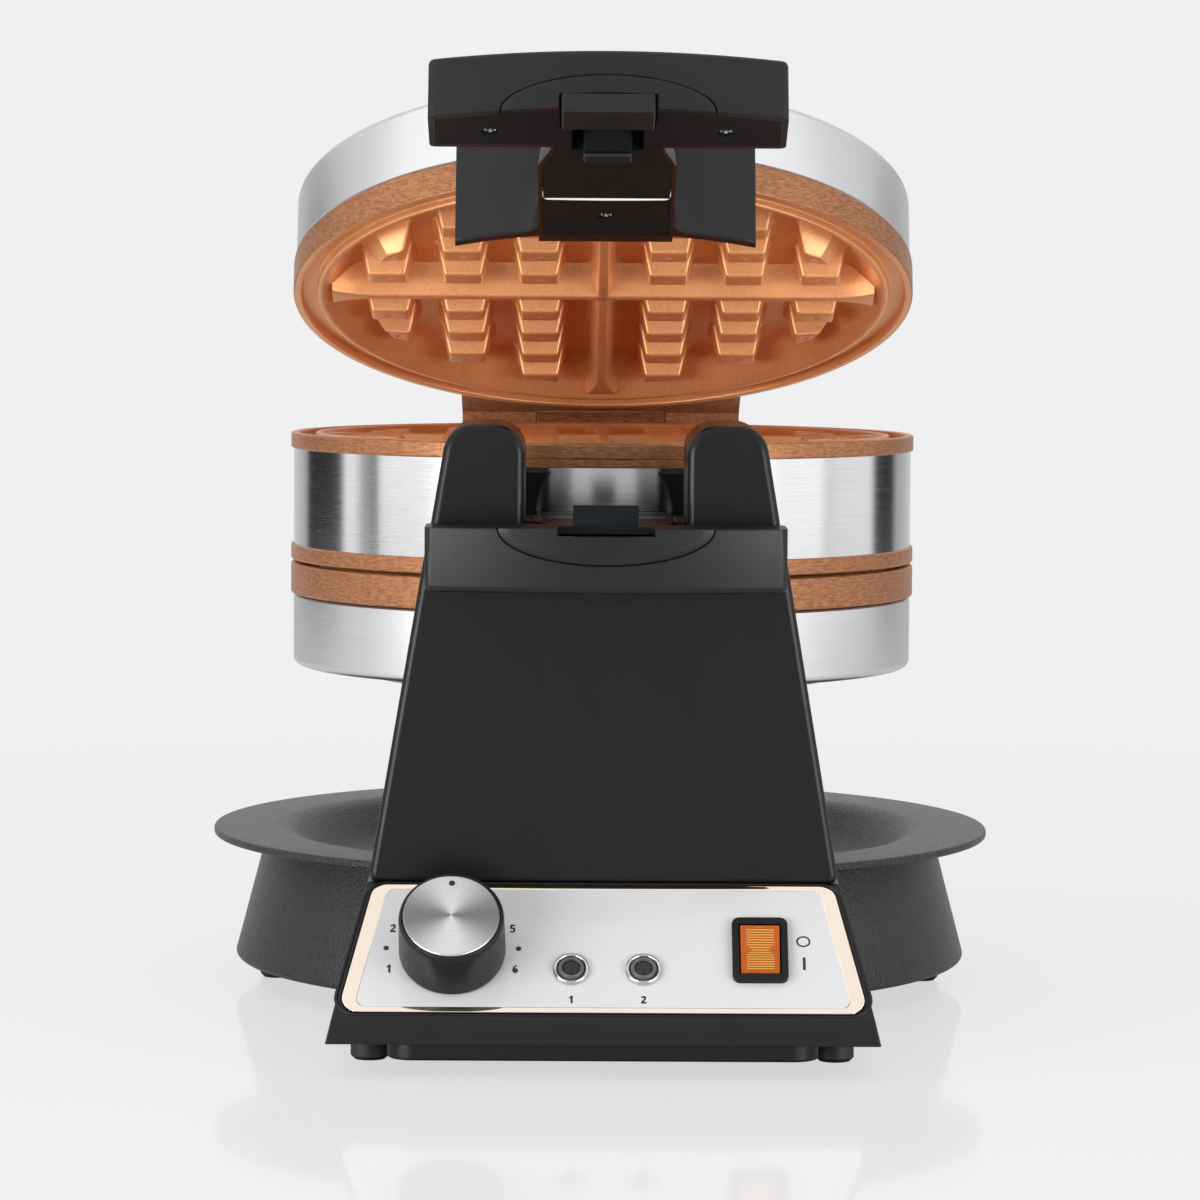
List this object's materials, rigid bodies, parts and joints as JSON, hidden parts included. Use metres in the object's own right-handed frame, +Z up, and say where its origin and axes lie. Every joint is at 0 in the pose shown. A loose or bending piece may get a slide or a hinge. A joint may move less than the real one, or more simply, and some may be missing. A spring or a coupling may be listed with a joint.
{
  "type": "rotating double waffle maker",
  "caption": "Turning double waffle maker: a round head with two hinged lids in a fork tower, on a round base with drip tray and sloping control panel.",
  "frame": {"origin": "middle of the outline, on the table", "axes": "+Z up, +X to the right seen from the control panel, +Y from the panel to the back"},
  "size_m": [0.266, 0.3872, 0.3102],
  "materials": {
    "black_plastic": "satin moulded black plastic",
    "dark_plastic": "dark matt plastic of the mating faces",
    "button_plastic": "slightly lighter satin plastic",
    "tray_plastic": "finely speckled dark plastic",
    "copper_coating": "metallic copper non-stick coating",
    "brushed_steel": "brushed round the band",
    "cap_steel": "satin pressed steel",
    "heater_metal": "dark oxidised sheath",
    "plain_steel": "turned or drawn steel",
    "bush_nylon": "natural nylon",
    "panel_white": "glossy pale panel",
    "trim_mirror": "polished warm border",
    "knob_plastic": "satin black, finely ribbed",
    "spun_aluminium": "spun in circles",
    "chrome_bezel": "polished",
    "lamp_lens": "smoked clear lens, unlit",
    "amber_rocker": "translucent amber with ribs",
    "rubber_foot": "black rubber"
  },
  "bodies": {
    "base": {"base_housing": "black_plastic", "console_housing": "black_plastic", "rear_housing": "black_plastic", "bottom_cover": "dark_plastic", "feet": "rubber_foot", "control_tower": "black_plastic", "fork_saddle": "dark_plastic", "rear_post": "black_plastic", "rear_bush": "bush_nylon", "panel_plate": "panel_white", "panel_trim": "trim_mirror", "lamp_bezels": "chrome_bezel", "lamp_lenses": "lamp_lens", "switch_frame": "dark_plastic", "thermostat": "heater_metal"},
    "head": {"middle_band": "brushed_steel", "upper_plate": "copper_coating", "lower_plate": "copper_coating", "upper_heater": "heater_metal", "lower_heater": "heater_metal", "front_yoke": "dark_plastic", "rear_frame": "black_plastic", "trunnion": "plain_steel", "trunnion_collar": "plain_steel", "top_hinge_pin": "plain_steel", "bottom_hinge_pin": "plain_steel", "bottom_lid_plate": "copper_coating", "bottom_lid_cap": "cap_steel", "bottom_lid_heater": "heater_metal", "bottom_handle": "black_plastic", "bottom_handle_plate": "dark_plastic", "bottom_inlay": "black_plastic", "bottom_handle_screws": "plain_steel", "bottom_wire_clip": "plain_steel"},
    "top_lid": {"top_lid_plate": "copper_coating", "top_lid_cap": "cap_steel", "top_lid_heater": "heater_metal", "top_handle": "black_plastic", "top_handle_plate": "dark_plastic", "top_inlay": "black_plastic", "top_handle_screws": "plain_steel", "top_wire_clip": "plain_steel"},
    "latch": {"release_button": "button_plastic"},
    "knob": {"browning_knob": "knob_plastic", "knob_cap": "spun_aluminium", "control_shaft": "plain_steel"},
    "rocker_key": {"rocker": "amber_rocker"},
    "tray": {"drip_tray": "tray_plastic"}
  },
  "joints": [
    {"name": "head_turn", "type": "hinge", "parent": "base", "child": "head", "pos_m": [0, 0.02762, 0.1667], "axis": [0, -1, 0], "range_deg": [-90, 0]},
    {"name": "top_lid_hinge", "type": "hinge", "parent": "head", "child": "top_lid", "pos_m": [0, 0.14561, 0.1857], "axis": [-1, 0, 0], "range_deg": [-22.1, 75]},
    {"name": "latch_slide", "type": "slide", "parent": "top_lid", "child": "latch", "axis": [0, 0.9265, -0.3762], "range_m": [0, 0.003], "stiffness_N_per_m": 600, "springref_m": -0.001},
    {"name": "browning_knob_turn", "type": "hinge", "parent": "base", "child": "knob", "pos_m": [-0.046, -0.16868, 0.03639], "axis": [0, -0.7385, 0.6743], "range_deg": [-106, 106]},
    {"name": "rocker_tip", "type": "hinge", "parent": "base", "child": "rocker_key", "pos_m": [0.0477, -0.16716, 0.03568], "axis": [1, 0, 0], "range_deg": [-16, 0]},
    {"name": "tray_lift", "type": "slide", "parent": "base", "child": "tray", "axis": [0, 0, 1], "range_m": [0, 0.035]}
  ]
}
